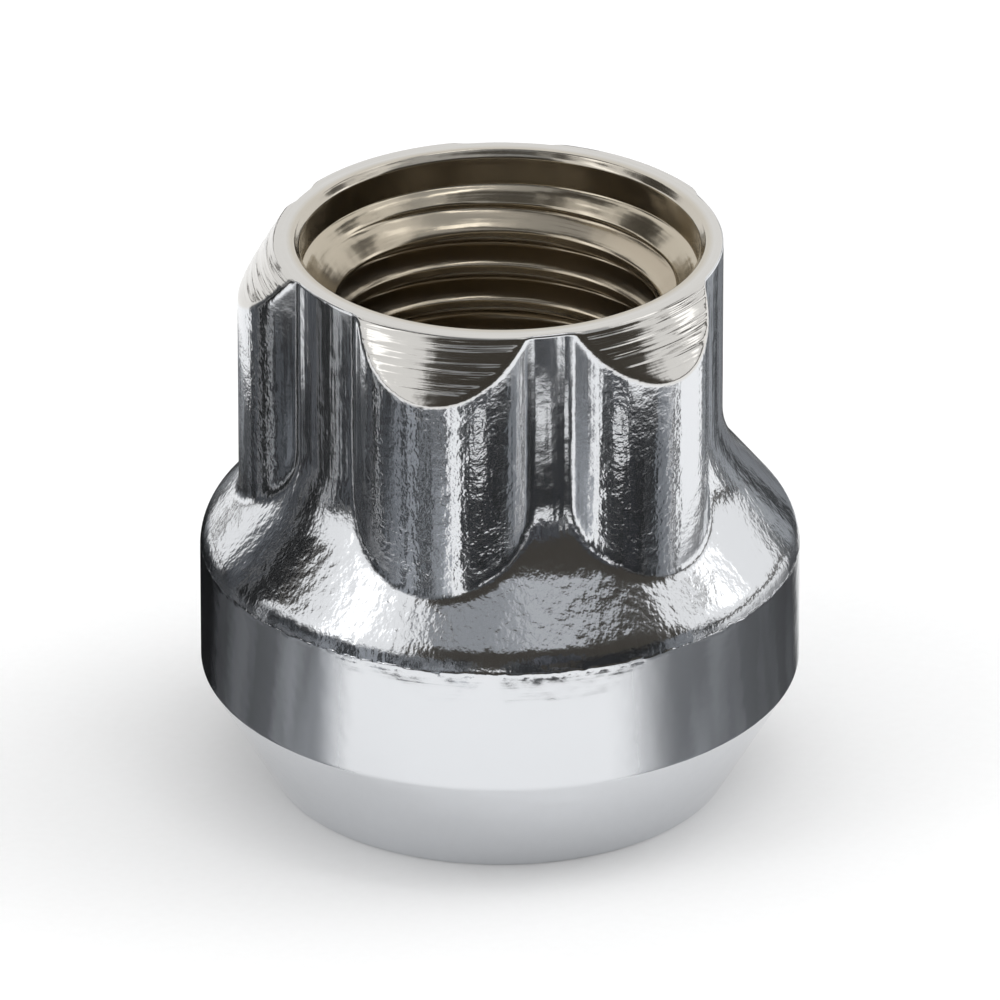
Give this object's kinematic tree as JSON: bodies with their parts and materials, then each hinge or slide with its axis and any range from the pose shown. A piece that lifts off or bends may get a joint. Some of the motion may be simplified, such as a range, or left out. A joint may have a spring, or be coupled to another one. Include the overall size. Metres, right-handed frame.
{
  "type": "locking wheel nut",
  "caption": "Open-ended locking wheel nut for a wheel stud: conical seat, plain band, shoulder and an uneven pattern of round key lobes round a through bore for an M14 thread.",
  "frame": {"origin": "centre of the flat seat-end face, on the thread axis, where the nut stands on a surface", "axes": "+Z along the thread axis from the seat end to the key end; -Y through the middle of the first key lobe"},
  "size_m": [0.023, 0.023, 0.0223],
  "materials": {
    "plated_steel": "bright chrome plating on forged and turned steel, warmer nickel tint in the bore"
  },
  "bodies": {
    "root": {"locking_nut": "plated_steel"}
  },
  "joints": []
}
